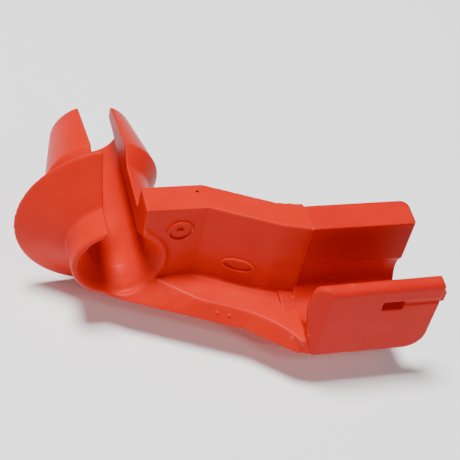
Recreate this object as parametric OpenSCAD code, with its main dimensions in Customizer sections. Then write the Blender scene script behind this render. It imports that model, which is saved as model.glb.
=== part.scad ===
// Snap-in holder clip for a cranked stay rod, moulded in one orange-red piece.
// X runs along the rod, Y along the sleeve towards its tip, Z is up.
// The origin is on the sleeve axis, at the near face of the panel it snaps into.

/* [Rod] */
// Diameter of the stay rod that the clip holds
rod_d = 7; // [6.8:0.05:7.1]
// Extra diameter of the sleeve bore over the rod
bore_play = 0.2; // [0.1:0.05:0.3]

/* [Sleeve] */
// Outside diameter of the neck that sits in the panel hole
neck_d = 11.5; // [11:0.1:12]
// Length of the neck
neck_len = 3.6; // [3:0.1:4]
// Outside diameter of the sleeve at its mouth
mouth_d = 12.1; // [12:0.1:12.6]
// Distance from the panel face forward to the mouth
mouth_reach = 8; // [7.5:0.1:8.5]
// Depth of the flared funnel inside the mouth
funnel_depth = 2.1; // [1.5:0.1:2.5]
// Diameter of the funnel at the mouth
funnel_d = 10.6; // [9.6:0.1:11]
// Largest diameter of the barbs
barb_d = 14.8; // [14:0.1:15.4]
// Length of the barb's undercut face
undercut_len = 2; // [1.5:0.1:2.4]
// Outside diameter at the tip of the barbs
tip_d = 10.2; // [9.8:0.1:10.8]
// Distance from the panel face back to the tip
tip_reach = 15; // [14:0.5:17]
// Left edge of the slot along the top of the sleeve
slot_left = -2; // [-2.2:0.05:-1.8]
// Right edge of the slot
slot_right = 2.25; // [2:0.05:2.4]

/* [Skirt] */
// Diameter of the skirt's rim
skirt_d = 24.1; // [22:0.1:25]
// Distance from the skirt's root forward of the panel face
skirt_reach = 3.8; // [3.4:0.1:4.2]
// Thickness of the skirt
skirt_t = 1; // [0.8:0.1:1.3]

/* [Arm] */
// Height of the arm's top face over the sleeve axis
arm_top = 8.95; // [8.5:0.05:9.5]
// Depth of the arm's underside below the sleeve axis
arm_under = 5.9; // [5.7:0.05:6]
// Thickness of the arm's wall
wall_t = 3.85; // [3.6:0.05:4]
// Front face of the arm's wall beside the sleeve
root_front = -7.6; // [-7.8:0.05:-7.4]
// Where the wall starts to crank forward
crank_start = 9.9; // [9.5:0.1:10.4]
// Where the crank ends
crank_end = 18.4; // [18:0.1:18.8]
// Front face of the wall at the end of the crank
crank_front = -11.15; // [-11.4:0.05:-10.9]

/* [Jaw] */
// Left end of the jaw
jaw_start = 21.8; // [21.5:0.1:22.2]
// Right end of the jaw's wall
jaw_end = 35.5; // [34:0.1:37]
// Front face of the jaw's wall
jaw_front = -12; // [-12.2:0.05:-11.8]
// Back face of the jaw's wall
jaw_back = -8.1; // [-8.3:0.05:-7.9]
// Distance from the jaw wall's face forward to the rod's centre
rod_offset = 2.72; // [2.5:0.02:2.9]
// Thickness of the lip
lip_t = 1.85; // [1.6:0.05:2.1]
// Height of the lip's top over the rod's centre
lip_top = 6.3; // [5.8:0.1:6.8]
// Right end of the lip
lip_end = 37.6; // [36.5:0.1:38.5]
// Left end of the slot through the lip
window_left = 30; // [29:0.1:31]
// Right end of the slot through the lip
window_right = 32.7; // [32:0.1:34]
// Bottom of the slot through the lip
window_low = 2.2; // [1.8:0.1:2.6]
// Top of the slot through the lip
window_high = 3.8; // [3.4:0.1:4.2]

/* [Hidden] */
$fn = 96;

// Clearance left at each thin flexing line, so that the moving regions stay apart.
flex_gap = 0.3;
// Reach of the cutting blocks, well past the part.
big = 60;
// Overrun of a cut past the face it breaks through.
eps = 0.02;

rod_r = rod_d / 2;
bore_r = (rod_d + bore_play) / 2;
neck_r = neck_d / 2;
mouth_r = mouth_d / 2;
barb_r = barb_d / 2;
tip_r = tip_d / 2;
skirt_r = skirt_d / 2;
shoulder_y = neck_len + undercut_len;
tip_chamfer = 0.5;
floor_top = -rod_r;
lip_inner = jaw_front - rod_offset - rod_r;
lip_outer = lip_inner - lip_t;
rod_y = jaw_front - rod_offset;
lip_low = floor_top + flex_gap;
jaw_step = 0.3;
cradle_h = 1.6;
cradle_edge = 0.3;
ramp_h = 1.3;
ramp_start = jaw_start - 1.8;
ramp_play = 0.3;

// Front edge of the floor flange, from below the mouth to the lip.
apron_start = [-1.7, -8];
flange_turn = [15.5, -15.1];
flange_meet = [jaw_start - 1.2, lip_outer + 0.6];
flange_slope = (flange_turn[1] - apron_start[1]) / (flange_turn[0] - apron_start[0]);
sweep_slope = (flange_meet[1] - flange_turn[1]) / (flange_meet[0] - flange_turn[0]);

function flange_y(x) = x < flange_turn[0]
    ? apron_start[1] + flange_slope * (x - apron_start[0])
    : flange_turn[1] + sweep_slope * (x - flange_turn[0]);

// Marks moulded on the faces: a plain ring, a plain oval and two round pips.
mark_h = 0.3;
mark_line = 0.45;
ring_at = [6.9, 5];
ring_r = 1.75;
oval_at = [14.7, 0.1];
oval_half = 1.1;
oval_r = 1.15;
pip_r = 0.3;
pip_gap = 1.4;
pip_at = [12, -4.6];

// A solid turned about the sleeve axis from a profile of [radius, y] points.
module turned(profile) {
    rotate([-90, 0, 0]) rotate_extrude() polygon(profile);
}

// Everything to the left of the slot, and left of the flexing line below.
module left_side() {
    translate([-big, -big, -big]) cube([big + slot_left, 2 * big, 2 * big]);
    translate([-big, -big, -big]) cube([big - flex_gap / 2, 2 * big, big]);
}

// Everything to the right of the slot, and right of the flexing line below.
module right_side() {
    translate([slot_right, -big, -big]) cube([big, 2 * big, 2 * big]);
    translate([flex_gap / 2, -big, -big]) cube([big, 2 * big, big]);
}

// Wall of the boss, from the flared mouth to the panel.
module boss_tube() {
    turned([[funnel_d / 2, -mouth_reach], [mouth_r, -mouth_reach], [neck_r, 0], [bore_r, 0],
            [bore_r, funnel_depth - mouth_reach]]);
}

module neck_tube() {
    turned([[bore_r, 0], [neck_r, 0], [neck_r, neck_len], [bore_r, neck_len]]);
}

// Barb head: an undercut face, then a long lead-in taper to the tip.
module barb_tube() {
    turned([[bore_r, neck_len], [neck_r, neck_len], [barb_r, shoulder_y],
            [tip_r + tip_chamfer / 2, tip_reach - tip_chamfer], [tip_r - tip_chamfer, tip_reach],
            [bore_r, tip_reach]]);
}

// Space kept by the boss, taken out of the arm and floor that join it.
module boss_space() {
    turned([[0, -mouth_reach - eps], [mouth_r, -mouth_reach - eps], [mouth_r, -mouth_reach], [neck_r, 0],
            [0, 0]]);
}

// Plan outline with vertical sides, between two heights.
module slab(points, low, high) {
    translate([0, 0, low]) linear_extrude(high - low) polygon(points);
}

module boss_shell() {
    color("orangered") intersection() {
        boss_tube();
        right_side();
    }
}

module arm_root_wall() {
    color("orangered") difference() {
        slab([[slot_right, root_front], [crank_start, root_front], [crank_start, root_front + wall_t],
              [slot_right, root_front + wall_t]], floor_top, arm_top);
        boss_space();
    }
}

module arm_crank_wall() {
    color("tomato")
        slab([[crank_start, root_front], [crank_end, crank_front], [crank_end, crank_front + wall_t],
              [crank_start, root_front + wall_t]], floor_top, arm_top);
}

module arm_end_wall() {
    color("orangered")
        slab([[crank_end, crank_front], [jaw_start, jaw_front], [jaw_start, jaw_back + jaw_step],
              [crank_end, crank_front + wall_t]], floor_top, arm_top);
}

module apron_floor() {
    color("coral") difference() {
        slab([[flex_gap / 2, flange_y(flex_gap / 2)], [crank_start, flange_y(crank_start)],
              [crank_start, root_front + wall_t], [flex_gap / 2, root_front + wall_t]],
             -arm_under, floor_top);
        boss_space();
    }
}

module crank_floor() {
    color("coral")
        slab([[crank_start, flange_y(crank_start)], flange_turn, [crank_end, flange_y(crank_end)],
              [crank_end, crank_front + wall_t], [crank_start, root_front + wall_t]], -arm_under, floor_top);
}

module gusset_floor() {
    color("coral")
        slab([[crank_end, flange_y(crank_end)], flange_meet, [jaw_start, lip_outer],
              [jaw_start, jaw_back + jaw_step], [crank_end, crank_front + wall_t]], -arm_under, floor_top);
}

// Seat for the rod, along the whole jaw. Play widens it where the rod is only led in.
module rod_seat(play = 0) {
    translate([0, rod_y, 0]) rotate([0, 90, 0]) cylinder(h = big, r = rod_r + play);
}

// Start of the rod's cradle, on the floor just before the jaw.
module seat_ramp() {
    wall_y = jaw_front + (jaw_start - ramp_start) * (crank_front - jaw_front) / (jaw_start - crank_end);
    color("tomato") difference() {
        slab([[ramp_start, lip_inner + cradle_edge], [jaw_start, lip_inner + cradle_edge],
              [jaw_start, jaw_front], [ramp_start, wall_y]], floor_top, floor_top + ramp_h);
        rod_seat(ramp_play);
    }
}

module jaw_wall() {
    color("red") difference() {
        translate([jaw_start, jaw_front, floor_top])
            cube([jaw_end - jaw_start, jaw_back - jaw_front, arm_top - floor_top]);
        rod_seat();
    }
}

module jaw_floor() {
    color("tomato") difference() {
        union() {
            translate([jaw_start, lip_inner, -arm_under])
                cube([jaw_end - jaw_start, jaw_back - lip_inner, arm_under + floor_top]);
            translate([jaw_start, lip_inner + cradle_edge, floor_top])
                cube([jaw_end - jaw_start, jaw_front - lip_inner - cradle_edge, cradle_h]);
        }
        rod_seat();
    }
}

// Strip of the floor that the lip rises from, rounded at its far lower corner.
module lip_sill() {
    thick = arm_under + floor_top;
    color("tomato") intersection() {
        union() {
            translate([jaw_start, lip_outer, -arm_under])
                cube([lip_end - thick - jaw_start, lip_t, thick]);
            translate([lip_end - thick, lip_outer, floor_top]) rotate([-90, 0, 0])
                cylinder(h = lip_t, r = thick);
        }
        translate([jaw_start, lip_outer - 1, -arm_under]) cube([big, lip_t + 2, thick]);
    }
}

// The lip, with a small slot through it and a round at its free top edge.
module jaw_lip() {
    lip_round = lip_t / 2;
    length = lip_end - jaw_start;
    color("red") difference() {
        union() {
            translate([jaw_start, lip_outer, lip_low])
                cube([length, lip_t, lip_top - lip_round - lip_low]);
            translate([jaw_start, lip_outer + lip_round, lip_top - lip_round]) rotate([0, 90, 0])
                cylinder(h = length, r = lip_round);
        }
        translate([window_left, lip_outer - 1, window_low])
            cube([window_right - window_left, lip_t + 2, window_high - window_low]);
    }
}

// Stub left at the end of the lip where the mould was filled.
module gate_stub() {
    stub = [0.7, 1, 1.7];
    color("red") translate([lip_end, lip_outer + (lip_t - stub[1]) / 2, window_low + 0.5]) cube(stub);
}

module left_boss() {
    color("orangered") intersection() {
        boss_tube();
        left_side();
    }
}

module left_neck() {
    color("tomato") intersection() {
        neck_tube();
        left_side();
    }
}

module left_barb() {
    color("orangered") intersection() {
        barb_tube();
        left_side();
    }
}

module right_neck() {
    color("tomato") intersection() {
        neck_tube();
        right_side();
    }
}

module right_barb() {
    color("orangered") intersection() {
        barb_tube();
        right_side();
    }
}

// Thin umbrella skirt that presses on the panel. It is only on the left of the slot.
module skirt() {
    root_r = neck_r + (mouth_r - neck_r) * skirt_reach / mouth_reach;
    back_r = neck_r + (mouth_r - neck_r) * (skirt_reach - skirt_t) / mouth_reach;
    color("orangered") intersection() {
        turned([[root_r, -skirt_reach], [skirt_r, -skirt_t / 2], [skirt_r - skirt_t / 4, 0],
                [back_r, skirt_t - skirt_reach]]);
        translate([-big, -big, -big]) cube([big + slot_left, 2 * big, 2 * big]);
    }
}

module ring_mark() {
    color("orangered") translate([ring_at[0], root_front, ring_at[1]]) rotate([90, 0, 0]) {
        difference() {
            cylinder(h = mark_h, r = ring_r);
            translate([0, 0, -1]) cylinder(h = mark_h + 2, r = ring_r - mark_line);
        }
        cylinder(h = mark_h, r = mark_line);
    }
}

// Flat plate with round ends, between two heights over the face it stands on.
module oval_plate(r, low, high) {
    translate([0, 0, low]) {
        translate([-oval_half, 0, 0]) cylinder(h = high - low, r = r);
        translate([oval_half, 0, 0]) cylinder(h = high - low, r = r);
        translate([-oval_half, -r, 0]) cube([2 * oval_half, 2 * r, high - low]);
    }
}

// Oval ring standing on the cranked face.
module oval_mark() {
    turn = atan2(crank_front - root_front, crank_end - crank_start);
    face_y = root_front + (oval_at[0] - crank_start) * tan(turn);
    color("orangered") translate([oval_at[0], face_y, oval_at[1]]) rotate([0, 0, turn]) rotate([90, 0, 0])
        difference() {
            oval_plate(oval_r, 0, mark_h);
            oval_plate(oval_r - mark_line, -1, mark_h + 1);
        }
}

// Two round pips on the front edge of the flange.
module size_pips() {
    turn = atan(flange_slope);
    color("orangered") for (i = [0, 1]) {
        x = pip_at[0] + i * pip_gap;
        translate([x, flange_y(x), pip_at[1]]) rotate([0, 0, turn]) rotate([90, 0, 0])
            cylinder(h = mark_h, r = pip_r);
    }
}

boss_shell();
arm_root_wall();
arm_crank_wall();
arm_end_wall();
apron_floor();
crank_floor();
gusset_floor();
seat_ramp();
jaw_wall();
jaw_floor();
lip_sill();
ring_mark();
oval_mark();
size_pips();
left_boss();
left_neck();
left_barb();
skirt();
right_neck();
right_barb();
jaw_lip();
gate_stub();
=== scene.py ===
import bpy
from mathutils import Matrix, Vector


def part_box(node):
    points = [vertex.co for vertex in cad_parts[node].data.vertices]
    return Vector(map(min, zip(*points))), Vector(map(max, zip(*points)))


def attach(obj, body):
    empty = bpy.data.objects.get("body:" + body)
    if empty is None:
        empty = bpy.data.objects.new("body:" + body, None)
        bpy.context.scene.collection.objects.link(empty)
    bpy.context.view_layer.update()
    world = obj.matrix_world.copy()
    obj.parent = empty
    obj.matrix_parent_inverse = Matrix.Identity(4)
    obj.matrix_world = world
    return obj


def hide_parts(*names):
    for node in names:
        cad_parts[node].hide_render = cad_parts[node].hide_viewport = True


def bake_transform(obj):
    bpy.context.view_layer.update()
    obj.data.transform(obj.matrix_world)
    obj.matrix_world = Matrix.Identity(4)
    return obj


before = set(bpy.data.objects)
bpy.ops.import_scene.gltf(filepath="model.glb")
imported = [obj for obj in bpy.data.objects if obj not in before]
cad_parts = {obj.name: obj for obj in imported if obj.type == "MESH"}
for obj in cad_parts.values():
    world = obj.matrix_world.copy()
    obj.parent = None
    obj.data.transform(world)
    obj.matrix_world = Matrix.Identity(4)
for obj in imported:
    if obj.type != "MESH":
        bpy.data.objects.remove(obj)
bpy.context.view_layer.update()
import math
import bmesh
import bpy
from mathutils import Euler, Matrix, Vector

# Snap-in holder clip for a cranked stay rod, moulded in orange-red plastic.
# X runs along the held rod, Y along the slotted sleeve towards its barbed tip, and Z is up.
# The moulding is made as two continuous pieces: the sleeve with its skirt and arm, and the jaw.
# Lengths in this file are in millimetres, and the meshes are in metres.
MM = 0.001

# Voxel sizes and smoothing passes: the smaller a piece, the finer its mesh
BODY_GRAIN, BODY_PASSES = 0.19, 6
JAW_GRAIN, JAW_PASSES = 0.13, 7
MARK_GRAIN, MARK_PASSES = 0.07, 3

CAMERA_PLACE = (-34.78, -112.93, 128.13)
CAMERA_TURN = (42.157, -10.146, -13.521)
CAMERA_LENS = 107.84

# The slot in the lip, and the groove that runs on from it to the lip's end
WINDOW_LEFT, WINDOW_RIGHT = 30.0, 32.8
WINDOW_FRONT_SILL, WINDOW_BACK_SILL, WINDOW_TOP = 2.1, 3.5, 3.75
GROOVE_LEFT, GROOVE_SILL, GROOVE_DEPTH = 32.3, 3.0, 0.14

# The flange's front face where the pips stand: two points on its foot, and how far it leans back
FOOT_LEFT, FOOT_RIGHT, FLANGE_LEAN = (-1.5, -8.12), (9.9, -13.0), 1.35

# Marks: how far they are sunk into the wall, and how far they stand out of it
MARK_ROOT, MARK_PROUD = 0.3, -0.26

# Colours of the plastic and of the highlight painted along its edges, with the speck's place on the arm's
# top
SMOOTH_ORANGE = (0.57, 0.0095, 0.004)
GRAINED_ORANGE = (0.52, 0.007, 0.004)
# Pale colour painted along convex edges as a highlight
PAINTED_EDGE_HIGHLIGHT = (0.8, 0.15, 0.08, 1)
SPECK_COLOUR = (0.012, 0.006, 0.006, 1)
SPECK_PLACE = (9.0, -4.9, 8.95)


def span(node):
    """Lowest and highest corners of a node, in millimetres."""
    low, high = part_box(node)
    return Vector(low) / MM, Vector(high) / MM


# ---- Places and sizes, read from the frame ----
boss_low = span("boss_shell")[0]
neck_high = span("right_neck")[1]
barb_high = span("right_barb")[1]
skirt_low, skirt_high = span("skirt")
root_low, root_high = span("arm_root_wall")
crank_low, crank_high = span("arm_crank_wall")
end_high = span("arm_end_wall")[1]
floor_low, floor_high = span("crank_floor")
wall_low, wall_high = span("jaw_wall")
lip_low, lip_high = span("jaw_lip")
ring_low, ring_high = span("ring_mark")
oval_low, oval_high = span("oval_mark")
pips_low, pips_high = span("size_pips")
stub_low, stub_high = span("gate_stub")
ramp_low, ramp_high = span("seat_ramp")

mouth_y = boss_low.y
mouth_r = -boss_low.z
neck_r = neck_high.x
barb_r = barb_high.x
shoulder_y = neck_high.y + 2.0
tip_y = barb_high.y
tip_r = 5.1
slot_left = skirt_high.x
slot_right = root_low.x
rod_r = -floor_high.z
bore_r = rod_r + 0.1
rod_y = lip_high.y + rod_r
underside = floor_low.z
floor_top = floor_high.z
arm_top = root_high.z


# ---- Camera, light and floor ----
def place_camera():
    data = bpy.data.cameras.new("camera")
    data.sensor_width = 36
    data.lens = CAMERA_LENS
    data.clip_start = 0.01
    camera = bpy.data.objects.new("camera", data)
    camera.location = Vector(CAMERA_PLACE) * MM
    camera.rotation_euler = Euler([math.radians(a) for a in CAMERA_TURN])
    bpy.context.collection.objects.link(camera)
    bpy.context.scene.camera = camera


def area_light(name, place, aim, size, power):
    data = bpy.data.lights.new(name, "AREA")
    data.shape = "DISK"
    data.size = size * MM
    data.energy = power
    light = bpy.data.objects.new(name, data)
    light.location = Vector(place) * MM
    light.rotation_euler = (Vector(aim) - Vector(place)).to_track_quat("-Z", "Y").to_euler()
    bpy.context.collection.objects.link(light)


def light_studio():
    middle = (12, -5, 0)
    area_light("overhead", (-110, 25, 610), middle, 170, 8.2)
    area_light("left_fill", (-190, -60, 130), middle, 110, 0.02)
    area_light("front_fill", (40, -240, 330), middle, 60, 0.2)
    area_light("glint", (75, -190, 165), middle, 12, 0.05)
    world = bpy.data.worlds.new("studio")
    world.use_nodes = True
    backdrop = world.node_tree.nodes["Background"]
    backdrop.inputs["Color"].default_value = (1, 1, 1, 1)
    backdrop.inputs["Strength"].default_value = 0.06
    bpy.context.scene.world = world


def lay_floor():
    bm = bmesh.new()
    bmesh.ops.create_grid(bm, x_segments=1, y_segments=1, size=2.5)
    bmesh.ops.translate(bm, verts=bm.verts, vec=(0, 0, skirt_low.z * MM - 0.0002))
    floor = new_object("studio_floor", bm)
    paint = bpy.data.materials.new("studio_floor")
    paint.use_nodes = True
    shader = paint.node_tree.nodes["Principled BSDF"]
    shader.inputs["Base Color"].default_value = (0.93, 0.93, 0.93, 1)
    shader.inputs["Roughness"].default_value = 0.9
    shader.inputs["Emission Color"].default_value = (1, 1, 1, 1)
    shader.inputs["Emission Strength"].default_value = 0.06
    floor.data.materials.append(paint)


# ---- Mesh helpers ----
def new_object(name, bm):
    """A new object from a bmesh whose faces are turned outwards first."""
    bmesh.ops.remove_doubles(bm, verts=bm.verts, dist=1e-7)
    bmesh.ops.recalc_face_normals(bm, faces=bm.faces)
    mesh = bpy.data.meshes.new(name)
    bm.to_mesh(mesh)
    bm.free()
    obj = bpy.data.objects.new(name, mesh)
    bpy.context.collection.objects.link(obj)
    return obj


def turned(name, profile, steps=160):
    """A solid of revolution about the sleeve's axis, from a closed outline of (radius, y)."""
    bm = bmesh.new()
    ring = [bm.verts.new((0, y * MM, r * MM)) for r, y in profile]
    edges = [bm.edges.new((a, b)) for a, b in zip(ring, ring[1:] + ring[:1])]
    bmesh.ops.spin(bm, geom=ring + edges, cent=(0, 0, 0), axis=(0, 1, 0), angle=math.tau,
                   steps=steps, use_merge=True)
    bmesh.ops.dissolve_degenerate(bm, dist=1e-7, edges=bm.edges)
    return new_object(name, bm)


def prism(name, outline, low, high, axis="Z", top=None):
    """An outline raised between two heights. A second outline may be given for the upper end."""
    place = {"Z": lambda a, b, h: (a, b, h), "X": lambda a, b, h: (h, a, b),
             "Y": lambda a, b, h: (a, h, b)}[axis]
    bm = bmesh.new()
    base = bm.faces.new([bm.verts.new(Vector(place(a, b, low)) * MM) for a, b in outline])
    raised = bmesh.ops.extrude_face_region(bm, geom=[base])["geom"]
    ends = [v for v in raised if isinstance(v, bmesh.types.BMVert)]
    for vert in ends:
        gaps = [(vert.co - Vector(place(a, b, low)) * MM).length for a, b in outline]
        partner = (top or outline)[gaps.index(min(gaps))]
        vert.co = Vector(place(*partner, high)) * MM
    return new_object(name, bm)


def block(name, low, high):
    return prism(name, [(low[0], low[1]), (high[0], low[1]), (high[0], high[1]), (low[0], high[1])],
                 low[2], high[2])


def rounded(points, radii, steps=6):
    """An outline with some corners rounded: one radius for each point, 0 for a sharp corner."""
    out = []
    count = len(points)
    for i, radius in enumerate(radii):
        corner = Vector(points[i])
        if radius == 0:
            out.append(tuple(corner))
            continue
        back = (Vector(points[i - 1]) - corner).normalized()
        ahead = (Vector(points[(i + 1) % count]) - corner).normalized()
        half = back.angle(ahead) / 2
        reach = radius / math.tan(half)
        start, end = corner + back * reach, corner + ahead * reach
        centre = corner + (back + ahead).normalized() * (radius / math.sin(half))
        for step in range(steps + 1):
            arm = (start - centre).lerp(end - centre, step / steps).normalized() * radius
            out.append(tuple(centre + arm))
    return out


def swept(start, pull, end, steps=7):
    """Points along a curve that leaves start towards pull and arrives at end from it."""
    curve = []
    for i in range(steps):
        t = i / (steps - 1)
        point = Vector(start) * (1 - t) ** 2 + Vector(pull) * 2 * t * (1 - t) + Vector(end) * t * t
        curve.append(tuple(point))
    return curve


def between(start, end, count):
    """Evenly spaced points on a straight line."""
    return [tuple(Vector(start).lerp(Vector(end), i / (count - 1))) for i in range(count)]


def arc(centre, radius, first, last, steps=12):
    """Points on an arc between two angles in degrees."""
    angles = [math.radians(first + (last - first) * i / steps) for i in range(steps + 1)]
    return [(centre[0] + radius * math.cos(a), centre[1] + radius * math.sin(a)) for a in angles]


def bake(obj):
    """Applies an object's modifiers to its mesh."""
    bpy.context.view_layer.update()
    shaped = obj.evaluated_get(bpy.context.evaluated_depsgraph_get())
    mesh = bpy.data.meshes.new_from_object(shaped)
    obj.modifiers.clear()
    obj.data = mesh
    return obj


def joined(base, operation, tools):
    """Adds tools to a solid (UNION), cuts them out (DIFFERENCE) or keeps the shared part (INTERSECT)."""
    for tool in tools:
        cut = base.modifiers.new(operation.lower(), "BOOLEAN")
        cut.operation = operation
        cut.solver = "MANIFOLD"
        cut.object = tool
        bake(base)
        bpy.data.objects.remove(tool)
    return base


def moulded(obj, grain, passes):
    """Remeshes a solid and rounds every edge and inner corner a little, as a mould does."""
    skin = obj.modifiers.new("skin", "REMESH")
    skin.mode = "VOXEL"
    skin.voxel_size = grain * MM
    skin.use_smooth_shade = True
    melt = obj.modifiers.new("melt", "SMOOTH")
    melt.factor = 0.5
    melt.iterations = passes
    return bake(obj)


# ---- The sleeve, its skirt and the arm ----
def sleeve_solids():
    """The sleeve before it is bored and slotted, and the left half of the skirt round it."""
    boss = turned("sleeve_and_arm", [(0, mouth_y), (mouth_r - 0.25, mouth_y), (mouth_r, mouth_y + 0.35),
                                     (neck_r, neck_high.y - 0.4), (neck_r + 0.25, neck_high.y),
                                     (barb_r - 0.15, shoulder_y - 0.12), (barb_r, shoulder_y + 0.1),
                                     (barb_r - 0.1, shoulder_y + 0.5), (tip_r + 0.25, tip_y - 0.55),
                                     (tip_r - 0.2, tip_y - 0.1), (tip_r - 0.55, tip_y), (0, tip_y)])
    skirt_r = -skirt_low.x
    skirt = turned("skirt", [(mouth_r - 0.9, skirt_low.y - 0.25), (mouth_r + 0.1, skirt_low.y + 0.05),
                             (skirt_r - 3, -1.95), (skirt_r - 0.15, -0.42), (skirt_r, -0.2),
                             (skirt_r - 0.25, 0), (skirt_r - 3, -1.05),
                             (neck_r + 0.4, -2.6), (neck_r - 0.9, -2.6)])
    half = block("half", (slot_left, -20, -20), (20, 20, 20))
    return boss, joined(skirt, "DIFFERENCE", [half])


def arm_solid():
    """Wall of the arm: straight along the rod, then cranked forward, then less so up to the jaw."""
    thick = root_high.y - root_low.y
    far = end_high.x + 0.6
    front = [(slot_right, root_low.y), (root_high.x, root_low.y), (crank_high.x, crank_low.y),
             (end_high.x, wall_low.y + 0.03), (far, wall_low.y + 0.1)]
    back = [(end_high.x, wall_high.y + 0.3), (crank_high.x, crank_low.y + thick),
            (root_high.x, root_high.y), (slot_right, root_high.y)]
    return prism("arm", front + back, underside + 0.5, arm_top)


def flange_solid():
    """Floor flange. Its front face leans out and sweeps round to run in under the lip."""
    lip_front = lip_low.y
    seam = end_high.x
    back = [(seam + 1.9, lip_front + 0.9), (seam + 0.5, lip_front + 2.2), (seam + 0.5, wall_high.y - 0.3),
            (seam, wall_high.y + 0.3), (crank_high.x, crank_low.y + 3.85), (root_high.x, root_high.y),
            (0.5, root_high.y)]
    rim_start = math.sqrt(mouth_r ** 2 - floor_top ** 2)
    foot = swept((-1.4, mouth_y + 0.03), (-0.2, -8.8), (2.2, -9.85), 6)
    foot += between((3.3, -10.3), (14.4, -14.95), 8)
    foot += [(15.3, -15.3), (17, -16.6), (18.7, -17.85)]
    foot += swept((20.2, -19.0), (21.3, -19.9), (seam + 1.9, lip_front + 0.05), 7)
    rim = between((-1.4, mouth_y + 0.03), (rim_start - 0.2, mouth_y + 0.1), 6)
    rim += between((rim_start + 0.3, mouth_y - 0.1), (9.7, -11.65), 4)
    rim += swept((10.9, -12.3), (16.0, -13.9), (19.0, -16.7), 8)
    rim += swept((19.6, -17.35), (20.5, -18.4), (seam - 0.7, lip_front + 0.55), 6)
    flange = prism("flange", foot + back, underside, floor_top, top=rim + back)
    slope = prism("slope", [(seam + 0.1, floor_top + 0.1), (seam + 0.95, -5.35), (seam + 4, -5.35),
                            (seam + 4, floor_top + 0.1)], lip_front - 2, lip_front + 0.9, axis="Y")
    return joined(flange, "DIFFERENCE", [slope])


def make_sleeve_and_arm():
    boss, skirt = sleeve_solids()
    piece = joined(boss, "UNION", [skirt, arm_solid(), flange_solid()])
    bore = turned("bore", [(0, mouth_y - 7), (mouth_r - 0.45, mouth_y - 7), (mouth_r - 0.6, mouth_y - 0.01),
                           (mouth_r - 1.2, mouth_y + 0.55), (bore_r + 0.55, mouth_y + 1.5),
                           (bore_r, mouth_y + 2.6), (bore_r, tip_y - 0.3), (bore_r + 0.3, tip_y + 0.01),
                           (bore_r + 0.3, tip_y + 2), (0, tip_y + 2)])
    slot = block("slot", (slot_left, mouth_y - 5, 0), (slot_right, tip_y + 5, 20))
    joined(piece, "DIFFERENCE", [bore, slot])
    return moulded(piece, BODY_GRAIN, BODY_PASSES)


# ---- The jaw ----
def jaw_wall_solid():
    """Back wall, rounded at its far back corner. It is a hair lower than the arm that runs on into it."""
    plan = [(wall_low.x, wall_low.y), (wall_high.x, wall_low.y), (wall_high.x, wall_high.y),
            (wall_low.x, wall_high.y)]
    return prism("jaw", rounded(plan, [0, 0.25, 1.1, 0]), underside + 0.02, arm_top - 0.03)


def cradle_solids():
    """Floor under the rod, the cradle's back and its lower start, and the foot of the lip."""
    floor = block("floor", (wall_low.x, lip_high.y - 0.5, underside + 0.02),
                  (wall_high.x, wall_high.y - 0.3, floor_top))
    back = block("back", (wall_low.x, rod_y, floor_top - 1), (wall_high.x, wall_low.y + 1, ramp_high.z))
    start = block("start", (ramp_low.x, rod_y, floor_top - 1),
                  (wall_low.x + 1, wall_low.y + 1, ramp_high.z - 0.85))
    swell = prism("swell", [(lip_low.x, 0), (lip_low.x + 0.2, floor_top),
                            (lip_low.x + 0.7, underside + 0.02), (wall_high.x, underside + 0.02),
                            (wall_high.x, 0)], lip_high.y - 0.5, rod_y, axis="Y")
    return [floor, back, start, swell]


def lip_solid():
    """The lip: round-nosed in section, slanting at its left end, and rising a little to the right."""
    nose = (lip_high.y - lip_low.y) / 2
    left, right, top = lip_low.x, lip_high.x, lip_high.z
    section = ([(lip_low.y, underside), (lip_high.y, underside)]
               + arc((lip_low.y + nose, top - nose), nose, 0, 180, 12))
    face = rounded([(left - 0.7, top), (left - 0.9, 2.1), (left + 0.1, floor_top), (left + 0.75, underside),
                    (right, underside), (right, top)], [1.7, 3, 0.5, 0, 2.5, 0.9])
    lip = prism("lip", section, left - 3, right + 1, axis="X")
    joined(lip, "INTERSECT", [prism("face", face, lip_low.y - 1, lip_high.y + 1, axis="Y")])
    corner = prism("corner", [(left - 3, lip_low.y - 1), (left + 2.2, lip_low.y - 1),
                              (left + 1.15, lip_low.y), (left - 1.0, lip_high.y - 0.4),
                              (left - 3, lip_high.y - 0.3)], -20, 20)
    joined(lip, "DIFFERENCE", [corner])
    for vert in lip.data.vertices:
        rise = (vert.co.z / MM - underside) / (top - underside)
        vert.co.z += 0.4 * MM * rise * (vert.co.x / MM - left + 2) / (right - left + 2)
    return lip


def make_jaw():
    piece = joined(jaw_wall_solid(), "UNION", cradle_solids() + [lip_solid()])
    seat = prism("seat", arc((rod_y, 0), rod_r, 0, 352, 44), ramp_low.x - 5, lip_high.x + 5, axis="X")
    front, back = lip_low.y - 0.3, lip_high.y + 0.3
    opening = [(front, WINDOW_FRONT_SILL), (back, WINDOW_BACK_SILL),
               (back, WINDOW_TOP), (front, WINDOW_TOP)]
    window = prism("window", opening, WINDOW_LEFT, WINDOW_RIGHT, axis="X")
    groove = block("groove", (GROOVE_LEFT, lip_low.y - 1, GROOVE_SILL),
                   (lip_high.x + 1, lip_low.y + GROOVE_DEPTH, WINDOW_TOP))
    joined(piece, "DIFFERENCE", [seat, window, groove])
    return moulded(piece, JAW_GRAIN, JAW_PASSES)


# ---- Moulded marks and the gate stub ----
def placed(obj, turn, spot):
    """Turns an object about Z, in radians, and puts it at a spot, all in its mesh."""
    obj.data.transform(Matrix.Translation(Vector(spot) * MM) @ Matrix.Rotation(turn, 4, "Z"))
    return obj


def ellipse(half, height, steps=48):
    angles = [math.tau * i / steps for i in range(steps)]
    return [(half * math.cos(a), height * math.sin(a)) for a in angles]


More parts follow.
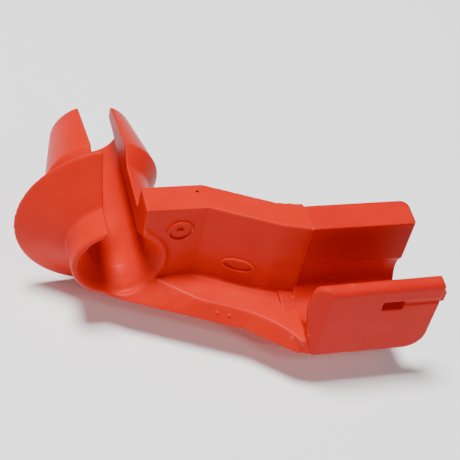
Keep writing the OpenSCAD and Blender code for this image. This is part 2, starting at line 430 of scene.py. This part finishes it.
def make_ring_mark():
    outer = (ring_high.x - ring_low.x) / 2
    middle = (ring_low + ring_high) / 2
    ring = turned("ring_mark", [(outer - 0.45, MARK_ROOT), (outer - 0.36, MARK_PROUD),
                                (outer - 0.09, MARK_PROUD), (outer, MARK_ROOT)], 72)
    dot = turned("dot", [(0, MARK_PROUD), (0.36, MARK_PROUD), (0.45, MARK_ROOT), (0, MARK_ROOT)], 36)
    joined(ring, "UNION", [dot])
    return moulded(placed(ring, 0, (middle.x, root_low.y, middle.z)), MARK_GRAIN, MARK_PASSES)


def make_oval_mark():
    turn = math.atan2(crank_low.y - root_low.y, crank_high.x - crank_low.x)
    middle = (oval_low + oval_high) / 2
    half = (oval_high.x - oval_low.x) / (2 * math.cos(turn)) - 0.15
    height = (oval_high.z - oval_low.z) / 2
    face_y = root_low.y + (middle.x - crank_low.x) * math.tan(turn)
    oval = prism("oval_mark", ellipse(half, height), -0.27, MARK_ROOT, axis="Y")
    joined(oval, "DIFFERENCE", [prism("inside", ellipse(half - 0.38, height - 0.36), -1, 1, axis="Y")])
    return moulded(placed(oval, turn, (middle.x, face_y, middle.z)), MARK_GRAIN, MARK_PASSES)


def make_size_pips():
    """Two round pips in the slanting, leaning front face of the flange."""
    turn = math.atan2(FOOT_RIGHT[1] - FOOT_LEFT[1], FOOT_RIGHT[0] - FOOT_LEFT[0])
    lean = FLANGE_LEAN / (floor_top - underside)
    pips = []
    for x in (pips_low.x + 0.35, pips_high.x - 0.25):
        z = (pips_low.z + pips_high.z) / 2
        y = FOOT_RIGHT[1] + (x - FOOT_RIGHT[0]) * math.tan(turn) + (z - underside) * lean
        pip = turned("size_pips", [(0, -0.22), (0.24, -0.22), (0.32, MARK_ROOT), (0, MARK_ROOT)], 32)
        pips.append(placed(pip, turn, (x, y, z)))
    return moulded(joined(pips[0], "UNION", pips[1:]), MARK_GRAIN, 2)


def make_gate_stub():
    stub = block("gate_stub", (stub_low.x - 0.3, stub_low.y, stub_low.z), stub_high)
    return moulded(stub, MARK_GRAIN, MARK_PASSES)


# ---- Material ----
class Value:
    """A shader output that can be used in plain arithmetic."""

    def __init__(self, paint, output):
        self.paint = paint
        self.output = output

    def __add__(self, other):
        return self.paint.maths("ADD", self, other)

    def __radd__(self, other):
        return self.paint.maths("ADD", other, self)

    def __sub__(self, other):
        return self.paint.maths("SUBTRACT", self, other)

    def __mul__(self, other):
        return self.paint.maths("MULTIPLY", self, other)

    def __rmul__(self, other):
        return self.paint.maths("MULTIPLY", other, self)

    def __lt__(self, other):
        return self.paint.maths("LESS_THAN", self, other)


class Paint:
    """A material being put together from shader nodes."""

    def __init__(self, name):
        self.material = bpy.data.materials.new(name)
        self.material.use_nodes = True
        self.tree = self.material.node_tree
        self.shader = self.tree.nodes["Principled BSDF"]

    def node(self, kind, settings, inputs, output=0):
        """Adds a node and returns one of its outputs."""
        made = self.tree.nodes.new("ShaderNode" + kind)
        for key, value in settings.items():
            setattr(made, key, value)
        for key, value in inputs.items():
            self.plug(made.inputs[key], value)
        return Value(self, made.outputs[output])

    def plug(self, socket, value):
        if isinstance(value, Value):
            self.tree.links.new(value.output, socket)
        else:
            socket.default_value = value

    def maths(self, operation, first, second, clamp=False):
        return self.node("Math", {"operation": operation, "use_clamp": clamp}, {0: first, 1: second})

    def mix(self, factor, first, second):
        return self.node("Mix", {"data_type": "RGBA"}, {"Factor": factor, 6: first, 7: second}, 2)

    def noise(self, place, scale, detail=3.0):
        return self.node("TexNoise", {}, {"Vector": place, "Scale": scale, "Detail": detail})


def plastic(name, colour, grain):
    """Orange-red plastic: cloudy colour, flow streaks, fine grain and pale dust in it.

    Convex edges beyond about 6 mm along X, on the arm and the jaw, get a pale painted highlight that stands
    in for edge glints.
    """
    paint = Paint(name)
    coords = paint.node("TexCoord", {}, {}, "Object")
    place = paint.node("VectorMath", {"operation": "SCALE"}, {0: coords, "Scale": 1 / MM}, 0)
    stretched = paint.node("VectorMath", {"operation": "MULTIPLY"}, {0: place, 1: (0.16, 0.5, 0.9)}, 0)
    cloud = paint.noise(place, 0.22)
    streak = paint.noise(stretched, 1.1, 2.0)
    fine = paint.noise(place, 7.0, 2.0)
    pits = paint.noise(place, 2.4, 4.0)
    cells = paint.node("TexVoronoi", {}, {"Vector": place, "Scale": 1.7, "Randomness": 1.0}, "Distance")
    pointed = paint.node("NewGeometry", {}, {}, "Pointiness")
    # Painted highlight: pale lines on convex edges, found by pointiness, mottled by noise and kept past
    # about x = 6 mm
    along = paint.node("SeparateXYZ", {}, {"Vector": place}, "X")
    highlight_reach = paint.maths("MULTIPLY", along - 6.0, 0.5, clamp=True)
    painted_highlight_mask = paint.maths("MULTIPLY", pointed - 0.535, 28.0, clamp=True) * highlight_reach

    deep = tuple(c * 0.82 for c in colour) + (1,)
    light = (colour[0] * 1.12, colour[1] * 1.7, colour[2] * 1.2, 1)
    pale = (colour[0] * 1.25, 0.11, 0.055, 1)
    shade = paint.mix(cloud * 0.6 + streak * 0.4, deep, light)
    dusty = paint.mix((cells < 0.055) * 0.32 * (pits + 0.2), shade, pale)
    with_painted_highlight = paint.mix(painted_highlight_mask * (0.6 * pits), dusty, PAINTED_EDGE_HIGHLIGHT)
    to_speck = paint.node("VectorMath", {"operation": "DISTANCE"}, {0: place, 1: SPECK_PLACE}, "Value")
    finished = paint.mix(to_speck + 0.06 * fine < 0.19, with_painted_highlight, SPECK_COLOUR)
    paint.plug(paint.shader.inputs["Base Color"], finished)

    paint.plug(paint.shader.inputs["Roughness"], 0.27 + 0.12 * cloud + 0.1 * fine - 0.06 * painted_highlight_mask)
    height = fine * 0.35 + pits * 0.65
    bump = paint.node("Bump", {}, {"Strength": grain, "Distance": 0.00006, "Height": height})
    paint.plug(paint.shader.inputs["Normal"], bump)
    paint.shader.inputs["Specular IOR Level"].default_value = 0.06
    return paint.material


def finish_piece(obj, material, nodes, body=None):
    """Colours a piece, swaps it in for its nodes, and lets it ride a body when one is given."""
    obj.data.materials.clear()
    obj.data.materials.append(material)
    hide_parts(*nodes)
    if body:
        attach(obj, body)


place_camera()
light_studio()
lay_floor()
smooth_plastic = plastic("moulded_plastic", SMOOTH_ORANGE, 0.25)
grained_plastic = plastic("grained_plastic", GRAINED_ORANGE, 0.5)

body = make_sleeve_and_arm()
finish_piece(body, smooth_plastic,
             ("boss_shell", "arm_root_wall", "arm_crank_wall", "arm_end_wall", "apron_floor", "crank_floor",
              "gusset_floor", "right_neck", "right_barb", "left_boss", "left_neck", "left_barb", "skirt"))
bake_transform(body)
jaw = make_jaw()
finish_piece(jaw, grained_plastic,
             ("jaw_wall", "jaw_floor", "lip_sill", "jaw_lip", "seat_ramp"))
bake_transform(jaw)
finish_piece(make_ring_mark(), smooth_plastic, ["ring_mark"], "clip_body")
finish_piece(make_oval_mark(), smooth_plastic, ["oval_mark"], "clip_body")
finish_piece(make_size_pips(), smooth_plastic, ["size_pips"], "clip_body")
finish_piece(make_gate_stub(), grained_plastic, ["gate_stub"], "lip")
